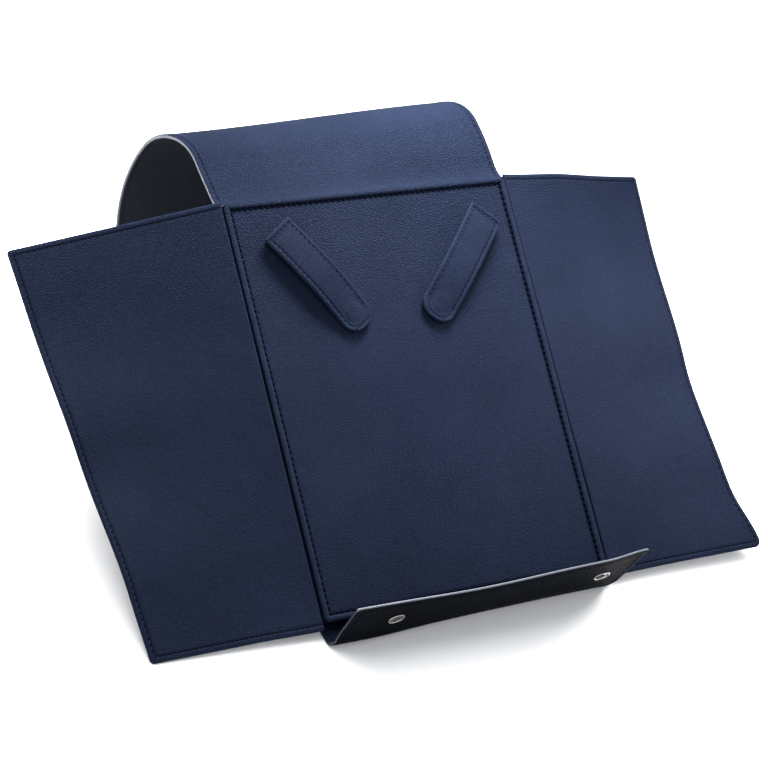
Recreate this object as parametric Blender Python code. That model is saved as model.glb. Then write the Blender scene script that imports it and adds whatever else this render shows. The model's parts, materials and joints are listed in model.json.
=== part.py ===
"""Travel jewellery case: a padded board with four leather flaps and two holding straps.

The case lies open.  Its long top flap is curled back under the board and props it up.
The case frame has +X to the right, +Y up the board and +Z out of the pad, with its
origin at the top left corner of the board on the pad's surface.
"""
import math

import bmesh
import bpy
from mathutils import Matrix, Vector

MM = 0.001
GAP = 0.3 * MM

# The board, and how far it leans back.
BOARD_WIDTH = 180 * MM
BOARD_HEIGHT = 231.5 * MM
BOARD_DEPTH = 9 * MM
BOARD_TILT = math.radians(31)
SKIN = 1.2 * MM
STIFFENER = 2 * MM
PAD_SKIN = 1 * MM
WELT_WIDTH = 3.6 * MM
WELT_RISE = 0.8 * MM
ROLL_RADIUS = 4.7 * MM

# A flap is a skin and a lining, and closed flaps lie in layers over the pad.
LEATHER = 0.8 * MM
FLAP_THICK = 2 * LEATHER + GAP
HALF_FLAP = FLAP_THICK / 2
LEFT_LAYER = 3.8 * MM
RIGHT_LAYER = 6.3 * MM
BOTTOM_LAYER = 8.8 * MM
TOP_LAYER = 13.3 * MM

# Side flaps: each is three strips that turn about one hinge line, so that it can twist.
SIDE_ROOT = 1 * MM
SIDE_HINGE_OUT = 1.3 * MM
SIDE_TOP_Y = 0.3 * MM
SIDE_STEP = 40 * MM
SIDE_LOW_Y = -231.8 * MM
SIDE_ROOT_LOW_Y = -233.6 * MM
STRIP_GAP = 0.5 * MM
LEFT_FLAP = {"droop": (20, 12.5, 4.9), "corner": (116.9 * MM, -2 * MM), "low_width": 96.5 * MM}
RIGHT_FLAP = {"droop": (14.5, 12, 4), "corner": (114 * MM, -0.3 * MM), "low_width": 101 * MM}

# Bottom flap: a wall that stands on the rolled edge, and the flap proper above its crease.
BOTTOM_END_GAP = 0.5 * MM
BOTTOM_LEAN = math.radians(7)
BOTTOM_FLAP_LENGTH = 29.5 * MM
SNAP_FROM_CREASE = 11.5 * MM
SNAP_X = (30 * MM, 160 * MM)

# Top flap: a wall and seven panels, whose headings give the curl, in degrees from +Y.
TOP_HINGE = Vector((0, 1.8 * MM, -4.5 * MM))
TOP_END_Y = -232 * MM
TOP_PANELS = 7
TOP_SIDE = 0.4 * MM
WALL_HEADING = -18
CURL_HEADINGS = (-22.1, -69, -93, -113.5)
CURL_DROP_HEADING = -110
CREASE_END = 1.35 * MM
BEND_END = 0.75 * MM

# Straps that hold the necklace.
STRAP_WIDTH = 20.8 * MM
STRAP_CORNER = 8.5 * MM
STRAP_LIFT = 1.6 * MM
STRAP_LEATHER = 0.65 * MM
STRAP_STUD_FROM_TIP = 11 * MM
STRAPS = {
    "left": {"at": (26.6 * MM, -17.8 * MM), "turn": -56, "length": 72 * MM},
    "right": {"at": (160.1 * MM, -21.3 * MM), "turn": -132, "length": 76 * MM},
}

# Press studs.
SNAP_RADIUS = 5 * MM
SNAP_RIM = 0.8 * MM
SNAP_POST_RADIUS = 1.7 * MM
SNAP_POST = 1.7 * MM
SOCKET_BORE = 2.4 * MM
SOCKET_RISE = 1.4 * MM
CAP_DOME = 1 * MM
ROUND_SIDES = 32


def clear_scene():
    for item in list(bpy.data.objects):
        bpy.data.objects.remove(item)


def make_material(name, color, roughness, metallic=0.0):
    material = bpy.data.materials.new(name)
    material.use_nodes = True
    shader = material.node_tree.nodes["Principled BSDF"]
    shader.inputs["Base Color"].default_value = (*color, 1)
    shader.inputs["Roughness"].default_value = roughness
    shader.inputs["Metallic"].default_value = metallic
    material.diffuse_color = (*color, 1)
    return material


def make_materials():
    return {
        "lining": make_material("lining_leather", (0.035, 0.05, 0.11), 0.55),
        "outer": make_material("outer_leather", (0.012, 0.016, 0.03), 0.35),
        "board": make_material("fibreboard", (0.35, 0.27, 0.18), 0.9),
        "foam": make_material("foam", (0.6, 0.6, 0.55), 0.95),
        "metal": make_material("nickel", (0.75, 0.74, 0.72), 0.2, 1.0),
    }


def add_frame(name, parent=None, location=(0, 0, 0), rotation=(0, 0, 0)):
    """An empty that places pieces; a moving one has its origin on its joint's axis."""
    frame = bpy.data.objects.new(name, None)
    frame.empty_display_size = 0.02
    frame.parent = parent
    frame.location = location
    frame.rotation_euler = rotation
    bpy.context.collection.objects.link(frame)
    return frame


def add_piece(name, mesh_maker, parent, material, smooth=False):
    """A closed piece made by mesh_maker(bm), as a named object under its frame."""
    shape = bmesh.new()
    mesh_maker(shape)
    bmesh.ops.recalc_face_normals(shape, faces=shape.faces)
    mesh = bpy.data.meshes.new(name)
    shape.to_mesh(mesh)
    shape.free()
    mesh.materials.append(material)
    if smooth:
        mesh.shade_smooth()
        mesh.set_sharp_from_angle(angle=math.radians(35))
    piece = bpy.data.objects.new(name, mesh)
    piece.parent = parent
    bpy.context.collection.objects.link(piece)
    return piece


def add_extrusion(name, outline, axis, low, high, parent, material, smooth=False):
    """An outline in the plane across an axis, extruded along that axis from low to high."""
    place = {
        "X": lambda a, b: Vector((low, a, b)),
        "Y": lambda a, b: Vector((a, low, b)),
        "Z": lambda a, b: Vector((a, b, low)),
    }[axis]
    step = {"X": Vector((1, 0, 0)), "Y": Vector((0, 1, 0)), "Z": Vector((0, 0, 1))}[axis]

    def maker(shape):
        corners = [shape.verts.new(place(a, b)) for a, b in outline]
        face = shape.faces.new(corners)
        made = bmesh.ops.extrude_face_region(shape, geom=[face])
        moved = [item for item in made["geom"] if isinstance(item, bmesh.types.BMVert)]
        bmesh.ops.translate(shape, verts=moved, vec=step * (high - low))

    return add_piece(name, maker, parent, material, smooth)


def add_turned(name, profile, at, parent, material, closed_ring=False):
    """A profile of (radius, height) points turned about +Z through the point at."""

    def maker(shape):
        points = [shape.verts.new(Vector((radius, 0, height))) for radius, height in profile]
        edges = [shape.edges.new(pair) for pair in zip(points, points[1:])]
        if closed_ring:
            edges.append(shape.edges.new((points[-1], points[0])))
        bmesh.ops.spin(
            shape, geom=points + edges, axis=(0, 0, 1), cent=(0, 0, 0),
            steps=ROUND_SIDES, angle=math.tau,
        )
        bmesh.ops.remove_doubles(shape, verts=shape.verts, dist=0.00001)
        bmesh.ops.translate(shape, verts=shape.verts, vec=Vector(at))

    return add_piece(name, maker, parent, material, smooth=True)


def arc(center, radius, start, end, steps):
    """Points on an arc, angles in degrees."""
    points = []
    for step in range(steps + 1):
        angle = math.radians(start + (end - start) * step / steps)
        points.append((center[0] + radius * math.cos(angle), center[1] + radius * math.sin(angle)))
    return points


def rectangle(a_low, a_high, b_low, b_high):
    return [(a_low, b_low), (a_high, b_low), (a_high, b_high), (a_low, b_high)]


def rounded_bar(low, high, base, top):
    """The section of a welt: square below, round on top."""
    radius = (high - low) / 2
    crown = arc(((low + high) / 2, top - radius), radius, 0, 180, 8)
    return [(low, base), (high, base), *crown]


def build_board(case, materials):
    """The board: skin, stiffener, foam, pad cover, four welts and the rolled bottom edge."""
    left = GAP
    right = BOARD_WIDTH - GAP
    top = -GAP
    bottom = -BOARD_HEIGHT + GAP
    skin_top = -BOARD_DEPTH + SKIN
    roll_y = bottom - 2.1 * MM
    roll_z = -BOARD_DEPTH + ROLL_RADIUS
    inner_left = left + WELT_WIDTH + GAP
    inner_right = right - WELT_WIDTH - GAP
    inner_top = top - WELT_WIDTH - GAP
    inner_bottom = bottom + WELT_WIDTH + GAP
    inner = rectangle(inner_left, inner_right, inner_bottom, inner_top)
    board_top = skin_top + GAP + STIFFENER

    add_extrusion("back_cover", rectangle(left, right, roll_y + GAP, top), "Z",
                  -BOARD_DEPTH, skin_top, case, materials["outer"])
    add_extrusion("backboard", inner, "Z", skin_top + GAP, board_top, case, materials["board"])
    add_extrusion("foam_pad", inner, "Z", board_top + GAP, -PAD_SKIN - GAP, case,
                  materials["foam"])
    add_extrusion("pad_cover", inner, "Z", -PAD_SKIN, 0, case, materials["lining"])

    welt_base = skin_top + GAP
    side_walls = (("left_welt", left, left + WELT_WIDTH), ("right_welt", right - WELT_WIDTH, right))
    for name, low, high in side_walls:
        add_extrusion(name, rounded_bar(low, high, welt_base, WELT_RISE), "Y", bottom, top,
                      case, materials["lining"], smooth=True)
    end_walls = (("top_welt", top - WELT_WIDTH, top), ("bottom_welt", bottom, bottom + WELT_WIDTH))
    for name, low, high in end_walls:
        add_extrusion(name, rounded_bar(low, high, welt_base, WELT_RISE), "X",
                      inner_left, inner_right, case, materials["lining"], smooth=True)

    outside = arc((roll_y, roll_z), ROLL_RADIUS, 180, 270, 8)
    inside = arc((roll_y, roll_z), ROLL_RADIUS - SKIN, 270, 180, 8)
    add_extrusion("bottom_roll", outside + inside, "X", left, right, case,
                  materials["outer"], smooth=True)
    return roll_y - ROLL_RADIUS, roll_z


def side_outline(flap, index):
    """The outline of one strip of a side flap: (outward from the hinge line, up the board)."""
    strips = len(flap["droop"])
    corner_out, corner_y = flap["corner"]
    height = SIDE_LOW_Y / strips
    high = height * index - STRIP_GAP / 2
    low = height * (index + 1) + STRIP_GAP / 2

    def edge(y):
        part = (y - corner_y) / (SIDE_LOW_Y - corner_y)
        return corner_out + (flap["low_width"] - corner_out) * part

    top_edge = [(edge(high), high), (SIDE_ROOT, high)]
    low_edge = [(SIDE_ROOT, low), (edge(low), low)]
    if index == 0:
        top_edge = [(corner_out, corner_y), (SIDE_ROOT, SIDE_TOP_Y)]
    if index == strips - 1:
        low_edge = [
            (SIDE_ROOT, SIDE_ROOT_LOW_Y),
            (SIDE_STEP, SIDE_LOW_Y),
            (flap["low_width"], SIDE_LOW_Y),
        ]
    return top_edge + low_edge


def build_side_flap(side, flap, hinge_x, layer, sign, case, materials):
    """Three strips on one hinge line. sign is -1 on the left and +1 on the right."""
    hinge_height = layer / 2
    parent = case
    turned = 0
    for index, droop in enumerate(flap["droop"]):
        turn = math.radians(sign * (droop - turned))
        place = (hinge_x, 0, hinge_height) if index == 0 else (0, 0, 0)
        frame = add_frame(f"{side}_flap_hinge_{index + 1}", parent, place, (0, turn, 0))
        outline = [(sign * out, y) for out, y in side_outline(flap, index)]
        lining_low = -hinge_height - LEATHER
        outer_low = -hinge_height - FLAP_THICK
        add_extrusion(f"{side}_flap_lining_{index + 1}", outline, "Z", lining_low,
                      -hinge_height, frame, materials["lining"])
        add_extrusion(f"{side}_flap_outer_{index + 1}", outline, "Z", outer_low,
                      outer_low + LEATHER, frame, materials["outer"])
        parent = frame
        turned = droop


def snap_profile():
    """A press stud: a disc with a raised rim, and a post in its middle."""
    return [
        (0, 0),
        (SNAP_RADIUS, 0),
        (SNAP_RADIUS, SNAP_RIM * 0.6),
        (SNAP_RADIUS * 0.84, SNAP_RIM),
        (SNAP_RADIUS * 0.62, SNAP_RIM * 0.55),
        (SNAP_POST_RADIUS, SNAP_RIM * 0.55),
        (SNAP_POST_RADIUS, SNAP_POST * 0.8),
        (SNAP_POST_RADIUS * 0.6, SNAP_POST),
        (0, SNAP_POST),
    ]


def ring_profile(low, high):
    """A press socket: a flat ring around its bore."""
    return [(SOCKET_BORE, low), (SNAP_RADIUS, low), (SNAP_RADIUS, high), (SOCKET_BORE, high)]


def build_bottom_flap(hinge_y, hinge_z, case, materials):
    """The wall above the rolled edge, then the flap proper with its two press studs."""
    left = GAP + BOTTOM_END_GAP
    right = BOARD_WIDTH - left
    crease_z = BOTTOM_LAYER + HALF_FLAP
    wall_height = crease_z - hinge_z
    wall = add_frame("bottom_wall_hinge", case, (0, hinge_y + HALF_FLAP, hinge_z),
                     (math.radians(90), 0, 0))
    wall_outline = rectangle(left, right, CREASE_END, wall_height - CREASE_END)
    add_extrusion("bottom_wall_outer", wall_outline, "Z", HALF_FLAP - LEATHER, HALF_FLAP,
                  wall, materials["outer"])
    add_extrusion("bottom_wall_lining", wall_outline, "Z", -HALF_FLAP, -HALF_FLAP + LEATHER,
                  wall, materials["lining"])
    flap = add_frame("bottom_flap_crease", wall, (0, wall_height, 0), (-BOTTOM_LEAN, 0, 0))
    flap_outline = rectangle(left, right, CREASE_END, BOTTOM_FLAP_LENGTH)
    add_extrusion("bottom_flap_outer", flap_outline, "Z", HALF_FLAP - LEATHER, HALF_FLAP,
                  flap, materials["outer"])
    add_extrusion("bottom_flap_lining", flap_outline, "Z", -HALF_FLAP, -HALF_FLAP + LEATHER,
                  flap, materials["lining"])
    for side, x in zip(("left", "right"), SNAP_X):
        add_turned(f"{side}_snap_stud", snap_profile(),
                   (x, SNAP_FROM_CREASE, HALF_FLAP + GAP), flap, materials["metal"])


def curl_headings():
    """Headings of the wall and of the panels down to the one that drops towards the ground."""
    headings = [math.radians(WALL_HEADING)]
    headings += [math.radians(heading) for heading in CURL_HEADINGS]
    headings.append(math.radians(CURL_DROP_HEADING) - BOARD_TILT)
    return headings


def ground_height(point, ground):
    """Height above the ground of a point in the case frame, before the case is centred."""
    return (
        math.sin(BOARD_TILT) * (point.y - ground.y) + math.cos(BOARD_TILT) * (point.z - ground.z)
    )


def build_top_flap(ground, case, materials):
    """The wall and the panels, each turned against the one before, down to the ground."""
    wall_length = TOP_LAYER + HALF_FLAP - TOP_HINGE.z
    panel_length = (TOP_HINGE.y - TOP_END_Y) / TOP_PANELS
    headings = curl_headings()
    end = TOP_HINGE.copy()
    for index, heading in enumerate(headings):
        length = panel_length if index else wall_length
        end += length * Vector((0, math.cos(heading), math.sin(heading)))
    drop = ground_height(end, ground) - HALF_FLAP - SOCKET_RISE
    landing = math.asin(drop / panel_length)
    headings += [landing - math.pi - BOARD_TILT, -math.pi - BOARD_TILT]

    parent = case
    turned = 0
    for index, heading in enumerate(headings):
        length = panel_length if index else wall_length
        place = TOP_HINGE if index == 0 else (0, last_length, 0)
        frame = add_frame(f"top_flap_hinge_{index + 1}", parent, place, (heading - turned, 0, 0))
        low = CREASE_END if index == 1 else BEND_END
        high = length - (CREASE_END if index == 0 else BEND_END)
        if index == len(headings) - 1:
            high = length
        outline = rectangle(-TOP_SIDE, BOARD_WIDTH + TOP_SIDE, low, high)
        add_extrusion(f"top_flap_outer_{index + 1}", outline, "Z", -HALF_FLAP,
                      -HALF_FLAP + LEATHER, frame, materials["outer"])
        add_extrusion(f"top_flap_lining_{index + 1}", outline, "Z", HALF_FLAP - LEATHER,
                      HALF_FLAP, frame, materials["lining"])
        parent = frame
        turned = heading
        last_length = length
    return parent, panel_length


def build_top_snaps(frame, panel_length, hinge_y, materials):
    """The press sockets inside the top flap's end, and their caps outside."""
    closed_y = hinge_y + HALF_FLAP + SNAP_FROM_CREASE
    along = panel_length - (closed_y - TOP_END_Y)
    for side, x in zip(("left", "right"), SNAP_X):
        add_turned(f"{side}_snap_socket", ring_profile(HALF_FLAP + GAP, HALF_FLAP + SOCKET_RISE),
                   (x, along, 0), frame, materials["metal"], closed_ring=True)
        dome = [(0, -HALF_FLAP - GAP), (SNAP_RADIUS, -HALF_FLAP - GAP)]
        dome += [
            (SNAP_RADIUS * math.cos(turn), -HALF_FLAP - GAP - CAP_DOME * math.sin(turn))
            for turn in (math.radians(22.5 * step) for step in range(1, 4))
        ]
        dome.append((0, -HALF_FLAP - GAP - CAP_DOME))
        add_turned(f"{side}_snap_cap", dome, (x, along, 0), frame, materials["metal"])


def strap_outline(length):
    """Square at the sewn end, round at the free end."""
    half = STRAP_WIDTH / 2
    low = arc((length - STRAP_CORNER, -half + STRAP_CORNER), STRAP_CORNER, -90, 0, 6)
    high = arc((length - STRAP_CORNER, half - STRAP_CORNER), STRAP_CORNER, 0, 90, 6)
    return [(0, half), (0, -half), *low, *high]


def build_strap(side, strap, case, materials):
    """A strap that lifts about its sewn end, with its socket, and its anchor and stud below."""
    turn = math.radians(strap["turn"])
    seat = add_frame(f"{side}_strap_seat", case, (*strap["at"], STRAP_LIFT), (0, 0, turn))
    hinge = add_frame(f"{side}_strap_hinge", seat)
    outline = strap_outline(strap["length"])
    upper = STRAP_LEATHER + GAP
    stud_x = strap["length"] - STRAP_STUD_FROM_TIP
    add_extrusion(f"{side}_strap_lining", outline, "Z", 0, STRAP_LEATHER, hinge,
                  materials["lining"])
    add_extrusion(f"{side}_strap_outer", outline, "Z", upper, upper + STRAP_LEATHER, hinge,
                  materials["lining"])
    add_turned(f"{side}_strap_socket", ring_profile(-GAP - 0.4 * MM, -GAP), (stud_x, 0, 0),
               hinge, materials["metal"], closed_ring=True)
    anchor = rectangle(1 * MM, 9 * MM, -8.5 * MM, 8.5 * MM)
    add_extrusion(f"{side}_strap_anchor", anchor, "Z", GAP - STRAP_LIFT, -GAP, seat,
                  materials["lining"])
    stud = [
        (0, GAP), (SNAP_RADIUS, GAP), (SNAP_RADIUS, 0.6 * MM), (SNAP_POST_RADIUS, 0.6 * MM),
        (SNAP_POST_RADIUS, STRAP_LIFT - GAP), (0, STRAP_LIFT - GAP),
    ]
    add_turned(f"{side}_strap_stud", stud, (stud_x, 0, -STRAP_LIFT), seat, materials["metal"])


def stand_on_origin(case):
    """Centres the model over the origin, with its lowest point on the ground."""
    bpy.context.view_layer.update()
    corners = [
        item.matrix_world @ vertex.co
        for item in bpy.data.objects if item.type == "MESH"
        for vertex in item.data.vertices
    ]
    low = [min(corner[axis] for corner in corners) for axis in range(3)]
    high = [max(corner[axis] for corner in corners) for axis in range(3)]
    case.location -= Vector(((low[0] + high[0]) / 2, (low[1] + high[1]) / 2, low[2]))


def main():
    clear_scene()
    materials = make_materials()
    case = add_frame("case", rotation=(BOARD_TILT, 0, 0))
    edge_y, edge_z = build_board(case, materials)
    roll_center = Vector((0, edge_y + ROLL_RADIUS, edge_z))
    down = Vector((0, math.sin(BOARD_TILT), math.cos(BOARD_TILT)))
    ground = roll_center - ROLL_RADIUS * down
    build_side_flap("left", LEFT_FLAP, -SIDE_HINGE_OUT, LEFT_LAYER, -1, case, materials)
    build_side_flap("right", RIGHT_FLAP, BOARD_WIDTH + SIDE_HINGE_OUT, RIGHT_LAYER, 1,
                    case, materials)
    build_bottom_flap(edge_y, edge_z, case, materials)
    last_panel, panel_length = build_top_flap(ground, case, materials)
    build_top_snaps(last_panel, panel_length, edge_y, materials)
    for side, strap in STRAPS.items():
        build_strap(side, strap, case, materials)
    stand_on_origin(case)


main()
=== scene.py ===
import json
import math

import bpy
import numpy as np
from mathutils import Matrix, Vector

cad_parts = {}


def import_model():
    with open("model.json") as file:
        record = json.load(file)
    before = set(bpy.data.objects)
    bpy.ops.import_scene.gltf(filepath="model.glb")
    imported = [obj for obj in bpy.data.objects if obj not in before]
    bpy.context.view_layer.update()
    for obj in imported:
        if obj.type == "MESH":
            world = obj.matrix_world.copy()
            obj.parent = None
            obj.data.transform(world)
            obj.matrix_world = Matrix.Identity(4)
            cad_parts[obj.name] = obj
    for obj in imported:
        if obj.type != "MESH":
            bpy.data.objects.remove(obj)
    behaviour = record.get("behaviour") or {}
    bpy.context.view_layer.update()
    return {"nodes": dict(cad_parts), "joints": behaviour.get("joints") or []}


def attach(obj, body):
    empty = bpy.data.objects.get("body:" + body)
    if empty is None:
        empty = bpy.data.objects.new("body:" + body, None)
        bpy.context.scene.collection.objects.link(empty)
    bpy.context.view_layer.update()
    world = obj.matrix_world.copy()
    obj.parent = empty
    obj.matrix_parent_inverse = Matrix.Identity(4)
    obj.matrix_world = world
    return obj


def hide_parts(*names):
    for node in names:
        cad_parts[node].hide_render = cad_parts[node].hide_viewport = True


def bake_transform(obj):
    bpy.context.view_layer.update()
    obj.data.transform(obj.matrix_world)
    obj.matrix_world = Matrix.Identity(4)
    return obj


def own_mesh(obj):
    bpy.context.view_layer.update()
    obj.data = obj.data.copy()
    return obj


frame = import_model()

# Sizes are in millimetres and places in the case frame, as in the CAD: +X right, +Y up the
# board and +Z out of the pad, from the board's top left corner on the pad's surface.
MM = 0.001
BOARD_WIDTH = 180
BOARD_HEIGHT = 231.5
BOARD_DEPTH = 9
WELT_WIDTH = 3.6
WELT_INSET = 0.3
WELT_RISE = 0.9
WELT_FOOT = -0.9
WELT_LOW = -7.2
SIDE_HINGE_OUT = 1.3
LEFT_LAYER = 3.8
RIGHT_LAYER = 6.3
HALF_FLAP = 0.95
SIDE_TOP_Y = 1.0
SIDE_LOW_Y = -234.2
SIDE_ROOT_LOW_Y = -234.8
SIDE_STEP = 40
SIDE_ROOT = -0.1
SEWN_IN = 0.6
HINGE_TUCK = 7
HINGE_DEPTH = -2.6
HINGE_BEND = 0.9
HINGE_HALF = 0.3
SNAP_X = (30, 160)
SNAP_FROM_CREASE = 11.5
SNAP_RADIUS = 4.7
SNAP_DISH = range(13, 26)

# Each side flap's droop at its three strips, its outer corner, its width at the bottom, the rise
# of its top edge, how far its low corner flares out and how round that corner is.
SIDE_FLAPS = {
    "left": {
        "sign": -1, "hinge_x": -SIDE_HINGE_OUT, "hinge_z": LEFT_LAYER / 2,
        "droop": (20, 12.5, 4.9), "corner": (116.5, -2), "low_width": 96.2, "arch": 0,
        "flare": 0, "low_round": 2.2,
    },
    "right": {
        "sign": 1, "hinge_x": BOARD_WIDTH + SIDE_HINGE_OUT, "hinge_z": RIGHT_LAYER / 2,
        "droop": (14.5, 12, 4), "corner": (114, 0), "low_width": 101, "arch": 1,
        "flare": 4, "low_round": 4.6,
    },
}

# How the skin and the lining meet and are sewn.
STITCH_INSET = 3.3
STITCH_PITCH = 3.4
STITCH_RINGS = 7
STITCH_SIDES = 8
GROOVE_WIDTH = 0.42
EDGE_STATIONS = (0, 0.06, 0.2, 0.45, 0.95, 1.5, 2.1, 2.6, 2.95, 3.3, 3.65, 4.0, 4.6, 5.6, 7, 9)
CORNER_ROUND = 2.2
# The step along a run of stitches that gives its direction, the distance from an edge below
# which both faces share their points, and the sides of a turned part.
RUN_STEP = 0.01
WELDED = 1e-6
TURNED_SIDES = 48

joints = {joint["name"]: joint for joint in frame["joints"]}
RIGHT = np.array((1.0, 0.0, 0.0))
UP = np.array(joints["left_flap_fold"]["axis"], float)
OUT = np.cross(RIGHT, UP)
CASE_OUT = np.array((0.0, 0.0, 1.0))
AXES = np.stack([RIGHT, UP, OUT])
LEFT_HINGE = np.array(joints["left_flap_fold"]["pos_m"], float) / MM
ORIGIN = LEFT_HINGE + SIDE_HINGE_OUT * RIGHT - LEFT_LAYER / 2 * OUT


def world(points):
    """Points of the case frame in millimetres, in the row frame in metres."""
    return (ORIGIN + np.asarray(points, float) @ AXES) * MM


def in_case(point):
    """A point of the row frame in metres, in the case frame in millimetres."""
    return AXES @ (np.asarray(point, float) / MM - ORIGIN)


def joint_at(name):
    return in_case(joints[name]["pos_m"])


def smooth(value, low=0.0, high=1.0):
    part = np.clip((value - low) / (high - low), 0, 1)
    return part * part * (3 - 2 * part)


def bump(value, center, width):
    return np.exp(-(((value - center) / width) ** 2))


def stations(length, step, start=True, end=True):
    """Positions from 0 to length, close together at the ends that are rounded and sewn."""
    low = list(EDGE_STATIONS) if start else [0]
    high = [length - s for s in reversed(EDGE_STATIONS)] if end else [length]
    count = max(1, round((high[0] - low[-1]) / step))
    middle = [low[-1] + (high[0] - low[-1]) * i / count for i in range(1, count)]
    return np.array(low + middle + high)


# ---------------------------------------------------------------- materials


class Nodes:
    """Short calls that add nodes to one material."""

    def __init__(self, name):
        self.material = bpy.data.materials.new(name)
        self.material.use_nodes = True
        self.tree = self.material.node_tree
        self.place = self.add("ShaderNodeTexCoord").outputs["Object"]

    def add(self, kind, inputs=(), **settings):
        node = self.tree.nodes.new(kind)
        for key, value in settings.items():
            setattr(node, key, value)
        for key, value in dict(inputs).items():
            self.put(node.inputs[key], value)
        return node

    def put(self, socket, value):
        """Links an input to a node's output, or gives it a value."""
        if isinstance(value, bpy.types.NodeSocket):
            self.tree.links.new(value, socket)
        else:
            socket.default_value = value

    def noise(self, scale, detail=2.0, rough=0.5):
        node = self.add("ShaderNodeTexNoise", {
            "Vector": self.place, "Scale": scale, "Detail": detail, "Roughness": rough})
        return node.outputs["Fac"]

    def ramp(self, value, low, high, to_low=0.0, to_high=1.0):
        node = self.add("ShaderNodeMapRange", {
            "Value": value, "From Min": low, "From Max": high,
            "To Min": to_low, "To Max": to_high})
        return node.outputs["Result"]

    def plus(self, first, second):
        return self.add("ShaderNodeMath", {0: first, 1: second}, operation="ADD").outputs[0]

    def times(self, first, second):
        return self.add("ShaderNodeMath", {0: first, 1: second}, operation="MULTIPLY").outputs[0]

    def mix(self, share, first, second):
        first, second = (value if isinstance(value, bpy.types.NodeSocket) else (*value, 1)
                         for value in (first, second))
        return self.add("ShaderNodeMix", {0: share, 6: first, 7: second},
                        data_type="RGBA").outputs[2]

    def attribute(self, name):
        return self.add("ShaderNodeAttribute", attribute_name=name).outputs["Fac"]

    def bump(self, height, strength, distance, **under):
        node = self.add("ShaderNodeBump", {
            "Height": height, "Strength": strength, "Distance": distance, **under})
        return node.outputs["Normal"]

    def finish(self, **inputs):
        for key, value in inputs.items():
            shader = self.tree.nodes["Principled BSDF"]
            self.put(shader.inputs[key.replace("_", " ")], value)
        return self.material


def warped(nodes, scale, amount):
    """The coordinates pushed about by a soft noise, so that no row of cells runs straight."""
    noise = nodes.add("ShaderNodeTexNoise", {
        "Vector": nodes.place, "Scale": scale, "Detail": 1.0}).outputs["Color"]
    push = nodes.add("ShaderNodeVectorMath", {0: noise, 1: (0.5, 0.5, 0.5)},
                     operation="SUBTRACT").outputs[0]
    push = nodes.add("ShaderNodeVectorMath", {0: push, "Scale": amount},
                     operation="SCALE").outputs[0]
    return nodes.add("ShaderNodeVectorMath", {0: nodes.place, 1: push},
                     operation="ADD").outputs[0]


def shade(color, share):
    return tuple(share * c for c in color)


def leather(name, dark, body, light, roughness, pebble, depth, specular):
    """Grained leather: pebbles between fine creases, mottled dye and rubbed edges, with painted
    shade in its grooves and seams and a painted highlight on the welt's crest.
    """
    nodes = Nodes(name)
    cells = {"Vector": warped(nodes, 420, 0.0011), "Scale": 1 / (pebble * MM)}
    creases = nodes.add("ShaderNodeTexVoronoi", cells, feature="DISTANCE_TO_EDGE")
    pebbles = nodes.ramp(creases.outputs["Distance"], 0.02, 0.34)
    pores = nodes.noise(2600)
    dye = nodes.ramp(nodes.noise(22, 4, 0.6), 0.3, 0.7, 0.25, 0.75)
    cloud = nodes.ramp(nodes.noise(7), 0.3, 0.7, 0.4, 0.7)
    # The wear attribute lightens rubbed edges, and on the welt's crest it is a painted highlight.
    rubbed_and_highlight = nodes.times(nodes.attribute("wear_and_highlight"), nodes.ramp(pores, 0.35, 0.65))
    tone = nodes.mix(dye, dark, body)
    tone = nodes.mix(nodes.times(pebbles, cloud), tone, light)
    # Painted shade: darker where the groove attribute is set, in the stitched grooves, along the
    # pad's seam and down the welt's sides.
    tone = nodes.mix(nodes.times(nodes.attribute("groove"), 0.45), tone, shade(dark, 0.35))
    tone = nodes.mix(nodes.times(rubbed_and_highlight, 0.45), tone, shade(light, 1.7))
    rough = nodes.ramp(nodes.plus(pores, nodes.ramp(pebbles, 0, 1, 0.25, -0.25)),
                       0.2, 0.9, roughness - 0.08, roughness + 0.1)
    height = nodes.plus(pebbles, nodes.times(pores, 0.35))
    fine = nodes.bump(height, nodes.times(nodes.attribute("grain"), depth), 0.0004)
    return nodes.finish(Base_Color=tone, Roughness=rough, Specular_IOR_Level=specular,
                        Normal=nodes.bump(nodes.noise(95, 3), 0.25, 0.0006, Normal=fine))


def thread(name, color):
    """Twisted sewing thread."""
    nodes = Nodes(name)
    twist = nodes.add("ShaderNodeTexWave", {
        "Vector": nodes.place, "Scale": 900.0, "Distortion": 3.0, "Detail": 1.0},
        bands_direction="DIAGONAL").outputs["Fac"]
    tone = nodes.mix(nodes.ramp(twist, 0, 1, 0.1, 0.8), shade(color, 0.4), color)
    return nodes.finish(Base_Color=tone, Roughness=0.7, Specular_IOR_Level=0.004,
                        Normal=nodes.bump(twist, 0.5, 0.00008))


def edge_paint(name, color, gloss, specular):
    """The painted cut edge of the skin: smooth lacquer with small waves."""
    nodes = Nodes(name)
    waves = nodes.noise(260, 3)
    tone = nodes.mix(nodes.ramp(waves, 0.3, 0.7, 0.0, 0.6), color, shade(color, 0.6))
    return nodes.finish(Base_Color=tone, Roughness=nodes.ramp(waves, 0, 1, gloss, gloss + 0.2),
                        Specular_IOR_Level=specular, Normal=nodes.bump(waves, 0.2, 0.0002))


def nickel(name, bright, dull):
    """Polished nickel with fine turning marks and a little tarnish."""
    nodes = Nodes(name)
    tarnish = nodes.noise(320, 4, 0.6)
    tone = nodes.mix(nodes.ramp(tarnish, 0.45, 0.75, 0, 0.5), bright, dull)
    return nodes.finish(Base_Color=tone, Metallic=1.0,
                        Roughness=nodes.ramp(tarnish, 0.3, 0.8, 0.14, 0.34),
                        Normal=nodes.bump(nodes.noise(5200), 0.12, 0.00003))


def fibreboard(name):
    nodes = Nodes(name)
    fibres = nodes.noise(900, 5, 0.7)
    tone = nodes.mix(fibres, (0.3, 0.22, 0.14), (0.42, 0.33, 0.23))
    return nodes.finish(Base_Color=tone, Roughness=0.9, Normal=nodes.bump(fibres, 0.3, 0.0002))


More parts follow.
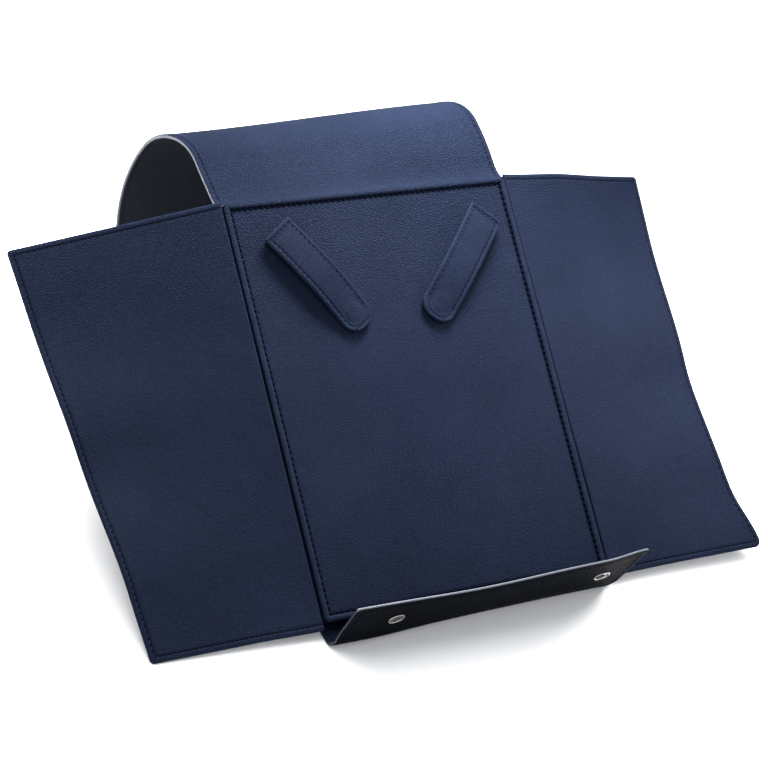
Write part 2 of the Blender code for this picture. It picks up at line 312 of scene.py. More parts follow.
def floor_paper(name):
    nodes = Nodes(name)
    tone = nodes.mix(nodes.noise(300, 3), (0.92, 0.92, 0.92), (0.95, 0.95, 0.95))
    return nodes.finish(Base_Color=tone, Roughness=0.95, Specular_IOR_Level=0.1)


def make_materials():
    navy = {"dark": (0.0028, 0.0043, 0.0094), "body": (0.0059, 0.0086, 0.0185),
            "light": (0.0103, 0.0147, 0.0302)}
    ink = {"dark": (0.0012, 0.0016, 0.0026), "body": (0.0024, 0.003, 0.0048),
           "light": (0.0042, 0.0052, 0.0078)}
    # A lighter copy of the ink outer leather for the top flap's curled outside: painted light
    # where the curl is lit.
    lit_ink_copy = {"dark": (0.0105, 0.0122, 0.016), "body": (0.0188, 0.0215, 0.0278),
             "light": (0.026, 0.0295, 0.0375)}
    skin = {"roughness": 0.5, "pebble": 1.7, "depth": 0.3, "specular": 0.004}
    return {
        "lining": leather("lining_leather", roughness=0.55, pebble=1.25, depth=1.0,
                          specular=0.008, **navy),
        "outer": leather("outer_leather", **skin, **ink),
        "curl": leather("curl_painted_light_leather", **skin, **lit_ink_copy),
        "edge": edge_paint("dark_edge_paint", (0.006, 0.009, 0.02), 0.5, 0.02),
        # A lighter copy of the edge paint for the bottom flap's free edge: a painted highlight
        # where the edge catches the light.
        "highlight_edge": edge_paint("painted_highlight_edge_paint", (0.07, 0.077, 0.095), 0.35, 0.3),
        "grey_edge": edge_paint("dark_grey_edge_paint", (0.016, 0.018, 0.024), 0.45, 0.1),
        # A lighter copy of the edge paint for the top flap's curl: a painted highlight along its
        # edges.
        "curl_highlight_edge": edge_paint("curl_painted_highlight_edge_paint", (0.045, 0.05, 0.06), 0.4, 0.2),
        "thread": thread("navy_thread", (0.002, 0.0035, 0.010)),
        "nickel": nickel("nickel", (0.34, 0.33, 0.32), (0.18, 0.17, 0.16)),
        # A darker copy of the nickel for the press stud's dish: painted shade in its hollow.
        "painted_shade_nickel": nickel("painted_shade_nickel", (0.06, 0.057, 0.055), (0.02, 0.019, 0.018)),
        "board": fibreboard("fibreboard"),
    }


LOOKS = make_materials()


# ---------------------------------------------------------------- mesh code


def unit(vectors):
    return vectors / np.linalg.norm(vectors, axis=-1, keepdims=True)


def bezier(start, bend, end, t):
    """Points of a quadratic curve at t, and their slopes."""
    point = (1 - t) ** 2 * start + 2 * t * (1 - t) * bend + t * t * end
    return point, 2 * (1 - t) * (bend - start) + 2 * t * (end - bend)


def add_object(name, data):
    item = bpy.data.objects.new(name, data)
    bpy.context.collection.objects.link(item)
    return item


def add_mesh(name, vertices, faces, looks, face_looks=None, attributes=(), normals=None):
    """A smooth mesh object from case-frame points, with the looks it names and its attributes.
    The leather's grain is deepest at the top, and stretched flatter down the case."""
    mesh = bpy.data.meshes.new(name)
    mesh.from_pydata(world(vertices), [], faces)
    for look in looks:
        mesh.materials.append(LOOKS[look])
    if face_looks is not None:
        mesh.polygons.foreach_set("material_index", np.asarray(face_looks, np.int32))
    grain = 0.38 + 0.62 * smooth(np.asarray(vertices)[:, 1], -80, 0)
    for key, values in {**dict(attributes), "grain": grain}.items():
        layer = mesh.attributes.new(key, "FLOAT", "POINT")
        layer.data.foreach_set("value", np.asarray(values, np.float32))
    mesh.shade_smooth()
    if normals is not None:
        mesh.normals_split_custom_set_from_vertices(normals)
    return add_object(name, mesh)


def round_corner(first, second, radius=CORNER_ROUND):
    """Distances to two edges that meet, pulled in to a round corner, and to its outline."""
    x = np.clip(1 - first / radius, 0, 1)
    y = np.clip(1 - second / radius, 0, 1)
    across = x * np.sqrt(1 - y * y / 2)
    along = y * np.sqrt(1 - x * x / 2)
    inside = (first < radius) & (second < radius)
    reach = np.where(inside, radius * (1 - np.hypot(across, along)), np.minimum(first, second))
    first = np.where(inside, radius * (1 - across), first)
    second = np.where(inside, radius * (1 - along), second)
    return first, second, np.maximum(reach, 0)


def rounding(reach, radius):
    """Share of the full thickness at a distance from the edge."""
    part = np.clip(reach / radius, 0, 1)
    return np.sqrt(1 - (1 - part) ** 2)


def hem_relief(sewn):
    """Height of the face over its plane: the turned hem, its roll and the stitched groove."""
    hem = 0.16 * (1 - smooth(sewn, 5.5, 9))
    roll = 0.14 * bump(sewn, 1.9, 0.8)
    groove = -0.36 * bump(sewn, STITCH_INSET, GROOVE_WIDTH)
    return hem + roll + groove


class Panel:
    """A leather panel with two faces that meet in round edges.

    place(u, v) gives the middle surface's points and normals; reach(u, v) gives how far a point
    is from the nearest edge that shows, and from the nearest stitched edge.
    """

    def __init__(self, u, v, place, reach, half=HALF_FLAP, relief=hem_relief, swell=None):
        self.u, self.v = np.meshgrid(np.asarray(u, float), np.asarray(v, float))
        self.place, self.reach, self.half = place, reach, half
        self.relief, self.swell = relief, swell

    def face(self, u, v, side=1):
        """Points of one face: side 1 is the front, and -1 the back."""
        points, normals = self.place(u, v)
        free, sewn = self.reach(u, v)
        share = rounding(free, self.half)
        height = side * self.half * share
        if self.relief is not None:
            height = height + side * self.relief(sewn) * share * (1 if side > 0 else 0.6)
        if self.swell is not None and side > 0:
            height = height + self.swell(u, v) * share
        return points + normals * height[..., None]

    def solid(self, name, looks, rows=None, edge_width=0.95, tip_from=None):
        """The panel's rows from low to high as one closed piece, its open cuts capped. The
        looks are the front's, the back's and the edge's, and the edge's before tip_from."""
        front, back = self.face(self.u, self.v), self.face(self.u, self.v, -1)
        count_v, count_u = self.u.shape
        low, high = rows or (0, count_v - 1)
        free, sewn = self.reach(self.u, self.v)
        index = np.arange(count_v * count_u).reshape(count_v, count_u)
        back_index = np.where(free < WELDED, index, index + index.size)
        flipped = self.flipped(front)
        quads = []
        for sheet, turn in ((index, flipped), (back_index, not flipped)):
            a, b = sheet[:-1, :-1], sheet[:-1, 1:]
            c, d = sheet[1:, 1:], sheet[1:, :-1]
            quads.append(np.stack((a, d, c, b) if turn else (a, b, c, d), -1))
        vertices = np.concatenate([front.reshape(-1, 3), back.reshape(-1, 3)])
        normals = vertex_normals(vertices, np.concatenate([q.reshape(-1, 4) for q in quads]))
        faces = [q[low:high].reshape(-1, 4) for q in quads]
        near = (free[low:high, :-1] + free[low + 1:high + 1, 1:]) / 2
        edge = 2
        if tip_from is not None:
            edge = np.where(self.v[low:high, :-1] < tip_from, 3, 2)
        kinds = [np.where(near < 0.3, edge, 0).ravel(),
                 np.where(near < edge_width, edge, 1).ravel()]
        sides = [(index[row], back_index[row], row == high) for row in (low, high)]
        sides += [(index[low:high + 1, column], back_index[low:high + 1, column], column == 0)
                  for column in (0, count_u - 1)]
        for line, under, forward in sides:
            if (line == under).all():
                continue
            strip = np.stack([line[:-1], line[1:], under[1:], under[:-1]], -1)
            faces.append(strip if forward != flipped else strip[:, ::-1])
            kinds.append(np.full(len(strip), 1))
        used, faces = np.unique(np.concatenate(faces), return_inverse=True)
        cleaned = [tuple(dict.fromkeys(face)) for face in faces.reshape(-1, 4).tolist()]
        kept = [i for i, face in enumerate(cleaned) if len(face) > 2]
        # Lighter near the free edges for rubbed wear; the groove attribute is painted shade that
        # darkens the stitched groove.
        wear_and_highlight = np.tile(np.exp(-free.ravel() / 0.5), 2)
        groove = np.tile(bump(sewn.ravel(), STITCH_INSET, GROOVE_WIDTH), 2)
        if self.relief is None:
            groove = groove * 0
        return add_mesh(name, vertices[used], [cleaned[i] for i in kept], looks,
                        np.concatenate(kinds)[kept],
                        {"wear_and_highlight": wear_and_highlight[used], "groove": groove[used]}, normals[used])

    def flipped(self, front):
        """Whether the grid's order runs clockwise as seen from the front."""
        row, column = front.shape[0] // 2, front.shape[1] // 2
        corner = front[row, column]
        turn = np.cross(front[row, column + 1] - corner, front[row + 1, column] - corner)
        normal = self.place(self.u, self.v)[1][row, column]
        return bool(np.dot(turn, normal) < 0)

    def frames_on(self, runs):
        """Points of the front along runs of (u, v, du, dv), where u or v may be one number,
        each with the directions along the run, across it and out of the face."""
        frames = []
        for u, v, du, dv in runs:
            u, v = np.broadcast_arrays(u, v)
            here = self.face(u, v)
            along = unit(self.face(u + du * RUN_STEP, v + dv * RUN_STEP) - here)
            across = unit(np.cross(self.place(u, v)[1], along))
            frames.append((here, along, across, np.cross(along, across)))
        return [np.concatenate(parts) for parts in zip(*frames)]


def vertex_normals(vertices, quads):
    """Area-weighted normals of the whole panel, so that its pieces shade as one."""
    a, b, c, d = (vertices[quads[:, i]] for i in range(4))
    flat = np.cross(c - a, d - b)
    normals = np.zeros_like(vertices)
    for i in range(4):
        np.add.at(normals, quads[:, i], flat)
    length = np.linalg.norm(normals, axis=1, keepdims=True)
    return (normals / np.maximum(length, 1e-12)) @ AXES


def tube_faces(rings, sides):
    """The quads between rings of points, and the caps of the first and the last."""
    faces = []
    for ring in range(rings - 1):
        for side in range(sides):
            a, b = ring * sides + side, ring * sides + (side + 1) % sides
            faces.append((a, b, b + sides, a + sides))
    faces.append(tuple(range(sides - 1, -1, -1)))
    faces.append(tuple(range((rings - 1) * sides, rings * sides)))
    return faces


def stitch_shape(length, radius):
    """One stitch along X: a short round thread whose ends dive into the leather."""
    points = []
    for ring in range(STITCH_RINGS):
        part = -1 + 2 * ring / (STITCH_RINGS - 1)
        size = radius * math.sqrt(max(0.04, 1 - part ** 4))
        drop = -1.1 * radius * part ** 2
        for side in range(STITCH_SIDES):
            turn = math.tau * side / STITCH_SIDES
            points.append((part * length / 2, size * math.cos(turn),
                           drop + size * math.sin(turn)))
    return np.array(points)


def add_stitches(name, frames, length=2.1, radius=0.42):
    """A row of stitches at the frames: (point, along, across, normal) arrays."""
    shape = stitch_shape(length, radius)
    here, along, across, normal = (part[:, None] for part in frames)
    vertices = (here + shape[None, :, 0, None] * along + shape[None, :, 1, None] * across
                + shape[None, :, 2, None] * normal)
    rings = tube_faces(STITCH_RINGS, STITCH_SIDES)
    faces = [tuple(i * len(shape) + j for j in face) for i in range(len(here)) for face in rings]
    return add_mesh(name, vertices.reshape(-1, 3), faces, ("thread",))


def carry(item, body, slot, *nodes):
    """Rides a piece on one body, in place of the CAD nodes it covers."""
    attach(item, body)
    if nodes:
        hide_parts(*nodes)


def add_sewn(piece, frames, slot, bodies, between, nodes, **sheet):
    """Sews a leather piece with stitches at the frames and rides both on one body, or with two
    bodies bakes them where they are. The points between and the piece's sheet are not used."""
    stitches = add_stitches(f"{piece.name}_stitches", frames)
    for item in (piece, stitches):
        if len(bodies) == 1:
            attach(item, *bodies)
        else:
            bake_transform(item)
    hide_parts(*nodes)


def turned(name, profile, at, axis, looks, dark):
    """A closed profile of (radius, height) points turned about an axis of the case frame.
    The profile's segments in dark have the second look."""
    axis = unit(axis)
    side = unit(np.cross(axis, (1, 0, 0)))
    turn = np.arange(TURNED_SIDES)[:, None] * math.tau / TURNED_SIDES
    circle = np.cos(turn) * side + np.sin(turn) * np.cross(axis, side)
    vertices = np.concatenate([at + height * axis + radius * circle
                               for radius, height in profile])
    faces = tube_faces(len(profile), TURNED_SIDES)
    kinds = [1 if i // TURNED_SIDES in dark else 0 for i in range(len(faces))]
    return add_mesh(name, vertices, faces, looks, kinds)


def arc(center, radius, start, end, steps):
    turns = np.radians(np.linspace(start, end, steps + 1))
    return [(center[0] + radius * math.cos(t), center[1] + radius * math.sin(t)) for t in turns]


# ---------------------------------------------------------------- side flaps


def side_width(flap, y):
    corner_out, corner_y = flap["corner"]
    part = (y - corner_y) / (SIDE_LOW_Y - corner_y)
    flare = flap["flare"] * smooth(part, 0.84, 1)
    return corner_out + (flap["low_width"] - corner_out) * part + flare


def side_outline(flap, u, v):
    """Share across and down a side flap, as outward distance, height and edge distances."""
    y = v * SIDE_LOW_Y
    for _ in range(3):
        out = SIDE_ROOT + (side_width(flap, y) - SIDE_ROOT) * u
        top = SIDE_TOP_Y + (flap["corner"][1] - SIDE_TOP_Y) * out / flap["corner"][0]
        top = top + flap["arch"] * bump(out, 46, 24)
        low = SIDE_ROOT_LOW_Y + (SIDE_LOW_Y - SIDE_ROOT_LOW_Y) * smooth(out, 0, SIDE_STEP)
        y = top + (low - top) * v
    width = side_width(flap, y)
    across, down, reach_top = round_corner(width - out, top - y)
    out, y = width - across, top - down
    across, rise, reach_low = round_corner(width - out, y - low, flap["low_round"])
    out, y = width - across, low + rise
    sewn = np.minimum(reach_top, reach_low)
    return out, y, np.minimum(sewn, out - SIDE_ROOT), sewn


def side_droop(flap, y):
    """The flap's turn about its hinge, in radians; it goes with the strips as they turn."""
    first, second, third = flap["droop"]
    strip = -SIDE_LOW_Y / 3
    turn = first + (second - first) * smooth(-y, strip / 2, strip * 1.5)
    turn = turn + (third - second) * smooth(-y, strip * 1.5, strip * 2.5)
    return np.radians(turn)


def left_lift(out, y):
    """How far the left flap's leather stands off its plane."""
    down = -y / BOARD_HEIGHT
    belly = -1.5 * np.sin(np.pi * out / 110) * np.sin(np.pi * np.clip(down, 0, 1))
    edge = 2.2 * smooth(out, 55, 115) * np.sin(np.pi * np.clip(down * 1.1, 0, 1))
    return belly + edge


def right_lift(out, y):
    """The right flap sags along its outer edge and its low corner curls up."""
    down = -y / BOARD_HEIGHT
    belly = 1.2 * np.sin(np.pi * np.clip(out / 105, 0, 1)) * bump(down, 0.5, 0.35)
    sag = -4.6 * smooth(out, 10, 110) * bump(down, 0.78, 0.17)
    curl = 8.5 * smooth(out, 5, 112) * smooth(down, 0.8, 1.03)
    return belly + sag + curl


def side_place(flap, lift):
    """The place(u, v) of a side flap."""
    level = -(flap["hinge_z"] + HALF_FLAP)

    def place(u, v):
        out, y, _, _ = side_outline(flap, u, v)
        turn = side_droop(flap, y)
        height = level + lift(out, y)
        x = flap["hinge_x"] + flap["sign"] * (out * np.cos(turn) + height * np.sin(turn))
        z = flap["hinge_z"] - out * np.sin(turn) + height * np.cos(turn)
        normal = np.stack([flap["sign"] * np.sin(turn), np.zeros_like(turn), np.cos(turn)], -1)
        return np.stack([x, y, z], -1), normal

    return place


def build_side_flap(side):
    """A side flap in an upper and a lower piece, each spanning two of its strips."""
    flap = SIDE_FLAPS[side]
    length = -SIDE_LOW_Y
    width = flap["corner"][0]
    u = stations(width, 3.5) / width
    v = stations(length, 3) / length
    middle = row_at(v, 0.5)
    v[middle] = 0.5
    if flap["sign"] < 0:
        u = u[::-1]
    lift = left_lift if side == "left" else right_lift
    panel = Panel(u, v, side_place(flap, lift), lambda a, b: side_outline(flap, a, b)[2:])
    frames = side_stitches(panel, width, length)
    inside = -frames[0][:, 1] < length / 2
    parts = (("upper", (0, middle), inside), ("lower", (middle, len(v) - 1), ~inside))
    for number, (part, rows, mask) in enumerate(parts):
        piece = panel.solid(f"{side}_flap_{part}", ("lining", "outer", "edge"), rows)
        strips = (number + 1, number + 2)
        between = [(-length / 3 * (number + share), 0) for share in (0.5, 1.5)]
        add_sewn(piece, [line[mask] for line in frames], "lining_leather",
                 [f"{side}_flap_{n}" for n in strips], between,
                 [f"{side}_flap_{skin}_{n}" for skin in ("outer", "lining") for n in strips],
                 flat=(width * MM, length / 2 * MM), held="laid")


def side_stitches(panel, width, length):
    """Stitches along the top, outer and bottom edges."""
    inset_u, inset_v = 1 - STITCH_INSET / width, STITCH_INSET / length
    across = np.arange(4, width - STITCH_INSET, STITCH_PITCH) / width
    down = np.arange(STITCH_INSET, length - STITCH_INSET, STITCH_PITCH) / length
    return panel.frames_on((
        (across, inset_v, 1, 0), (inset_u, down, 0, 1), (across, 1 - inset_v, 1, 0)))


def build_side_hinge(side):
    """The leather fold between the board's edge and a side flap's root."""
    flap = SIDE_FLAPS[side]
    sign = flap["sign"]
    edge_x = 0.1 if sign < 0 else BOARD_WIDTH - 0.1
    length = -SIDE_ROOT_LOW_Y

    def hinge_y(v):
        return SIDE_TOP_Y - 0.6 - v * (length - 1.2)

    def place(u, v):
        y = hinge_y(v)
        turn = side_droop(flap, y)
        level = -(flap["hinge_z"] + HALF_FLAP)
        end_x = flap["hinge_x"] + sign * (HINGE_TUCK * np.cos(turn) + level * np.sin(turn))
        end_z = flap["hinge_z"] - HINGE_TUCK * np.sin(turn) + level * np.cos(turn)
        ends = [np.stack(np.broadcast_arrays(x, y, z), -1) for x, z in (
            (edge_x - sign * SEWN_IN, HINGE_DEPTH),
            (edge_x + sign * HINGE_BEND, end_z * 0.45 - 1.5), (end_x, end_z))]
        point, slope = bezier(*ends, u[..., None])
        return point, sign * np.cross(unit(slope), (0, 1, 0))

    def reach(u, v):
        along = np.minimum(v, 1 - v) * length
        across = np.minimum(u, 1 - u) * 5
        return np.minimum(along, across), np.full_like(u, 50.0)

    u = np.array((0, 0.02, 0.08, 0.2, 0.35, 0.5, 0.65, 0.8, 0.92, 0.98, 1))
    if sign < 0:
        u = u[::-1]
    v = stations(length, 8) / length
    panel = Panel(u, v, place, reach, half=HINGE_HALF, relief=None)
    piece = panel.solid(f"{side}_flap_hinge", ("lining", "outer", "edge"), edge_width=0.02)
    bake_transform(piece)


# ---------------------------------------------------------------- curved flaps


class Spline:
    """A quadratic B-spline in the case's y-z plane: it touches each leg of its control line
    at the middle, and its two end legs are straight. The line may differ from left to right."""

    def __init__(self, left, right):
        self.left, self.right = np.asarray(left, float), np.asarray(right, float)

    def at(self, side, v):
        """Points and headings at v, where each leg's middle is at v = leg + 1."""
        control = self.left[None] * (1 - side)[:, None, None] + (
            self.right[None] * side[:, None, None])
        middles = (control[:, :-1] + control[:, 1:]) / 2
        starts = np.concatenate([control[:, :1], middles], 1)
        ends = np.concatenate([middles, control[:, -1:]], 1)
        bends = control.copy()
        bends[:, 0] = (control[:, 0] + middles[:, 0]) / 2
        bends[:, -1] = (control[:, -1] + middles[:, -1]) / 2
        leg = np.clip(np.floor(v).astype(int), 0, len(self.left) - 1)
        row = np.arange(len(v))
        point, slope = bezier(*(line[row, leg] for line in (starts, bends, ends)),
                              (v - leg)[:, None])
        return point, unit(slope)


def curved_place(spline, left, right, stray=None):
    """place(u, v) of a panel that runs along a spline: u is across in mm from the left.
    stray(across, along) is how far its leather stands away from the spline."""

    def place(u, v):
        shape = u.shape
        across, along = u.ravel(), v.ravel()
        side = smooth(across / (right - left))
        point, slope = spline.at(side, along)
        points = np.stack([left + across, point[:, 0], point[:, 1]], -1)
        if stray is not None:
            points = resting(points + stray(across, along))
        normal = np.stack([np.zeros(len(across)), -slope[:, 1], slope[:, 0]], -1)
        return points.reshape(*shape, 3), normal.reshape(*shape, 3)

    return place


def resting(points):
    """The middle of a panel, kept half its thickness above the floor where it lies on it."""
    height = (ORIGIN + points @ AXES)[..., 2]
    lift = np.maximum(0, HALF_FLAP - height)
    return points + lift[..., None] * AXES[:, 2]


def curved_rows(lengths, step):
    """Values of v along a spline's legs of these lengths, close together at the free end."""
    rows = []
    for leg, length in enumerate(lengths[:-1]):
        count = max(3, round(length / step))
        rows += [leg + i / count for i in range(count)]
    last = lengths[-1]
    marks = [last - s for s in reversed(EDGE_STATIONS) if s < last - 1]
    rows += [len(lengths) - 1 + mark / last for mark in [0] + marks]
    return np.array(rows)


def row_at(v, mark):
    return int(np.argmin(abs(v - mark)))


def spline_lengths(spline):
    """The length of each leg of v, on the left."""
    lines = np.linalg.norm(np.diff(spline.left, axis=0), axis=1)
    middle = [(a + b) / 2 for a, b in zip(lines, lines[1:])]
    return [lines[0] / 2] + middle + [lines[-1] / 2]


def curve_stitches(panel, lengths, width, start):
    """Stitches down both sides of a curved panel and across its end, and their values of v."""
    marks = np.arange(start, sum(lengths) - STITCH_INSET - 0.5, STITCH_PITCH)
    knots = np.concatenate([[0], np.cumsum(lengths)])
    v = np.interp(marks, knots, np.arange(len(knots)))
    across = np.arange(STITCH_INSET + 2, width - STITCH_INSET - 1, STITCH_PITCH)
    end_v = len(lengths) - STITCH_INSET / lengths[-1]
    frames = panel.frames_on((
        (STITCH_INSET, v, 0, 0.1), (width - STITCH_INSET, v, 0, 0.1), (across, end_v, 1, 0)))
    return frames, np.concatenate([v, v, np.full_like(across, end_v)])


def build_spans(panel, v, lengths, first_stitch, slot, spans):
    """Cuts a curved panel at values of v into pieces with their stitches. Each span is (name,
    looks, low, high, bodies, points between its bodies, CAD nodes, held, settings of solid)."""
    width = panel.u[0, -1]
    frames, stitch_v = curve_stitches(panel, lengths, width, first_stitch)
    for name, looks, low, high, bodies, between, nodes, held, settings in spans:
        piece = panel.solid(name, looks, (row_at(v, low), row_at(v, high)), **settings)
        mask = (stitch_v >= low) & (stitch_v < high)
        add_sewn(piece, [line[mask] for line in frames], slot, bodies, between, nodes,
                 flat=(width * MM, sum(lengths[low:high]) * MM), held=held)


TOP_LEFT_SHIFT = ((0, 0), (-0.9, -3.6), (-1.6, -3.6), (-8.0, 0.3), (-2.0, -2.4), (-2.6, -1.6),
                  (-2.2, -0.4), (-0.6, -0.3), (0, 0), (0, 0))
TOP_RIGHT_SHIFT = ((0, 0), (3.5, -2.4), (3, 2.2), (-0.8, 5), (1.2, 0), (0, 0), (0, 0), (0, 0),
                   (0, 0), (0, 0))
CURL_OUT = 1.3
TOP_OVERHANG = 0.4


def top_controls():
    """The top flap's control line: the board's edge, its hinges and its end."""
    hinges = [joint_at("top_flap_fold")] + [joint_at(f"top_flap_bend_{i}") for i in range(2, 9)]
    line = [(-1.5, -2.4)] + [tuple(hinge[1:]) for hinge in hinges]
    length = np.linalg.norm(np.subtract(line[-1], line[-2]))
    heading = unit(np.array((-UP[1], -OUT[1])))
    line.append(tuple(np.array(line[-1]) + heading * length))
    return np.array(line)


def build_top_flap():
    """The curled top flap: its root, seven bends and its end."""
    line = top_controls()
    out = np.zeros_like(line)
    for i in range(3, len(line) - 1):
        before, after = line[i] - line[i - 1], line[i + 1] - line[i]
        turn = unit(after) - unit(before)
        size = np.linalg.norm(turn)
        out[i] = -turn / size * CURL_OUT * min(1, size / 0.5) if size > 0.05 else 0
    spline = Spline(line + out + np.array(TOP_LEFT_SHIFT), line + out + np.array(TOP_RIGHT_SHIFT))
    lengths = spline_lengths(spline)
    left, right = -TOP_OVERHANG, BOARD_WIDTH + TOP_OVERHANG
    width = right - left
    ends = len(lengths)

    def reach(u, v):
        edge = round_corner(np.minimum(u, width - u), (ends - v) * lengths[-1])[2]
        return edge, np.minimum(edge, 60)

    v = curved_rows(lengths, 2.4)
    panel = Panel(stations(width, 5), v, curved_place(spline, left, right), reach)
    middles = (line[:-1] + line[1:]) / 2
    places = [line[0], None, *middles[1:], None]
    names = ["root", *(f"bend_{i}" for i in range(2, ends - 1)), "end"]
    cuts = [0, *range(2, ends + 1)]
    spans = []
    for i, (name, low, high) in enumerate(zip(names, cuts, cuts[1:])):
        bodies = ["board", *(f"top_flap_{n}" for n in range(1, ends - 1))][i:i + 2]
        nodes = [f"top_flap_{skin}_{body[-1]}" for body in bodies if body != "board"
                 for skin in ("outer", "lining")]
        # The curl's outside and its edges take the lighter painted-light copies of the outer
        # leather and the edge paint.
        spans.append((f"top_flap_{name}", ("lining", "curl", "curl_highlight_edge"), low, high, bodies,
                      (places[low], places[high]), nodes, "folded", {}))
    build_spans(panel, v, lengths, 5, "lining_leather", spans)


# ---------------------------------------------------------------- back cover and bottom flap

BOTTOM_LEAN = math.radians(8.6)
BOTTOM_FLAP_LENGTH = 31.8
BOTTOM_INSET = 0.5


def build_bottom():
    """The outer skin: down the board's back, round its rolled edge and up the bottom flap."""
    crease = joint_at("bottom_flap_fold")[1:]
    wall = joint_at("bottom_wall_fold")[1:]
    back = -BOARD_DEPTH + 0.5
    lean = np.array((math.sin(BOTTOM_LEAN), math.cos(BOTTOM_LEAN)))
    end = crease + lean * BOTTOM_FLAP_LENGTH
    wall_y = wall[0] - 1.3
    line = np.array([(-0.6, back), (-120, back), (-228, back), (wall_y - 0.2, back),
                     (wall_y, (wall[1] + crease[1]) / 2), (wall_y + 0.5, crease[1]), end])
    low_left, low_right = line.copy(), line.copy()
    low_left[:, 0] -= (0, 0, 0, 2.0, 3.2, 2.0, 0)
    low_right[-1] = end + lean * 1.6 + (0.6, 0)
    spline = Spline(low_left, low_right)
    lengths = spline_lengths(spline)
    left, right = BOTTOM_INSET, BOARD_WIDTH - BOTTOM_INSET
    width = right - left
    ends = len(lengths)

    def reach(u, v):
        side = np.minimum(u, width - u)
        free = round_corner(side, (ends - v) * lengths[-1], 1.6)[2]
        free = np.minimum(free, np.interp(v, [0, 1], [0, lengths[0]]))
        return free, np.where(v > 4, free, np.minimum(side, 40))

    def stray(across, along):
        """The flap's free edge sags in the middle, and spreads and rises at its ends."""
        near_end = smooth(along, 4.7, ends)
        share = across / width
        x = -2.4 * (1 - smooth(across, 0, 40)) * near_end
        y = (2.0 * smooth(share, 0.85, 1) - 1.5 * bump(share, 0.42, 0.26)) * near_end
        y = y - 1.7 * bump(share, 0.12, 0.2) * bump(along, 4.6, 0.8)
        return np.stack([x, y, np.zeros_like(x)], -1)

    v = curved_rows(lengths, 2.6)
    panel = Panel(stations(width, 6), v, curved_place(spline, left, right, stray), reach,
                  half=0.85, relief=lambda sewn: 0.45 * hem_relief(sewn))
    middles = (line[:-1] + line[1:]) / 2
    # The flap's free edge takes the painted-highlight copy of the edge paint; its sides keep the
    # dark grey paint.
    looks = ("outer", "lining", "highlight_edge", "grey_edge")
    tip = {"edge_width": 0.25, "tip_from": ends - 0.1}
    build_spans(panel, v, lengths, 4, "outer_leather", (
        ("back_cover_skin", ("outer", "lining", "edge"), 0, 3, ["board"], (),
         ["back_cover", "bottom_roll"], "stretched", {"edge_width": 0.4}),
        ("bottom_wall_skin", looks, 3, 5, ["board", "bottom_wall"], middles[2:4],
         ["bottom_wall_outer", "bottom_wall_lining"], "folded", tip),
        ("bottom_flap_skin", looks, 5, ends, ["bottom_wall", "bottom_flap"], middles[4:6],
         ["bottom_flap_outer", "bottom_flap_lining"], "folded", tip),
    ))
    return panel, crease, lean


# ---------------------------------------------------------------- board


def rim_pull(length, total):
    """How far each pad stitch pulls the piping's inner side outwards, along the rim."""
    count = round(total / PAD_STITCH_PITCH)
    return 0.22 * (0.5 + 0.5 * np.cos(math.tau * length / total * count)) ** 2


def rim_path(inset, radius, step, steps=8):
    """A round-cornered loop inside the board's outline, with extra points on its straight
    runs: points and outward directions."""
    low_x, high_x = inset, BOARD_WIDTH - inset
    low_y, high_y = -BOARD_HEIGHT + inset, -inset
    corners = ((high_x, high_y, 0), (low_x, high_y, 90), (low_x, low_y, 180),
               (high_x, low_y, 270))
    points, outs = [], []
    for x, y, start in corners:
        center = (x - math.copysign(radius, x - BOARD_WIDTH / 2),
                  y - math.copysign(radius, y + BOARD_HEIGHT / 2))
        for k in range(steps + 1):
            turn = math.radians(start + 90 * k / steps)
            outs.append((math.cos(turn), math.sin(turn)))
            points.append([at + radius * part for at, part in zip(center, outs[-1])])
    made, directions = [], []
    for point, following, out in zip(points, points[1:] + points[:1], outs):
        count = max(1, round(math.dist(point, following) / step))
        for k in range(count):
            made.append([a + (b - a) * (k / count) for a, b in zip(point, following)])
            directions.append(out)
    return np.array(made), np.array(directions)


def build_rim():
    """The piped welt round the pad: a leather tube with a wall down the board's sides."""
    half = WELT_WIDTH / 2
    center, outs = rim_path(WELT_INSET + half, 1.6, 0.8)
    rise = half * 0.8
    tube = [(half * math.cos(t), WELT_RISE - rise + rise * abs(math.sin(t)) ** 0.7)
            for t in np.linspace(0, math.pi, 17)]
    section = [(half, WELT_LOW), (half, WELT_FOOT), *tube, (-half, WELT_FOOT),
               (-half, WELT_LOW)]
    across, height = np.array(section).T
    gaps = np.linalg.norm(np.roll(center, -1, axis=0) - center, axis=1)
    length = np.concatenate([[0], np.cumsum(gaps)[:-1]])[:, None]
    swell = 0.06 * np.sin(length / 5.3) + 0.05 * np.sin(length / 2.1 + 1)
    pull = rim_pull(length, gaps.sum()) * smooth(-across, 0, half) * (height > -2)
    flat = center[:, None] + outs[:, None] * (across + pull)[..., None]
    level = height + swell * (height > -0.5) - 0.3 * pull
    index = np.arange(level.size).reshape(level.shape)
    after = np.roll(index, -1, 0)
    faces = np.stack([index, after, np.roll(after, -1, 1), np.roll(index, -1, 1)], -1)
    k = np.arange(len(section))
    # Painted light on the welt: the wear attribute lightens its crest as a painted highlight, and
    # the groove attribute darkens its sides and walls as painted shade.
    crest, outside = (4 < k) & (k < len(k) - 5), (k <= 5) | (k >= len(k) - 3)
    rim = add_mesh("board_rim", np.concatenate([flat, level[..., None]], -1).reshape(-1, 3),
                   faces.reshape(-1, 4).tolist(), ("lining",),
                   attributes={"wear_and_highlight": np.tile(0.35 * crest, len(center)),
                               "groove": np.tile(1.4 * outside, len(center))})
    carry(rim, "board", "lining_leather", "left_welt", "right_welt", "top_welt", "bottom_welt")


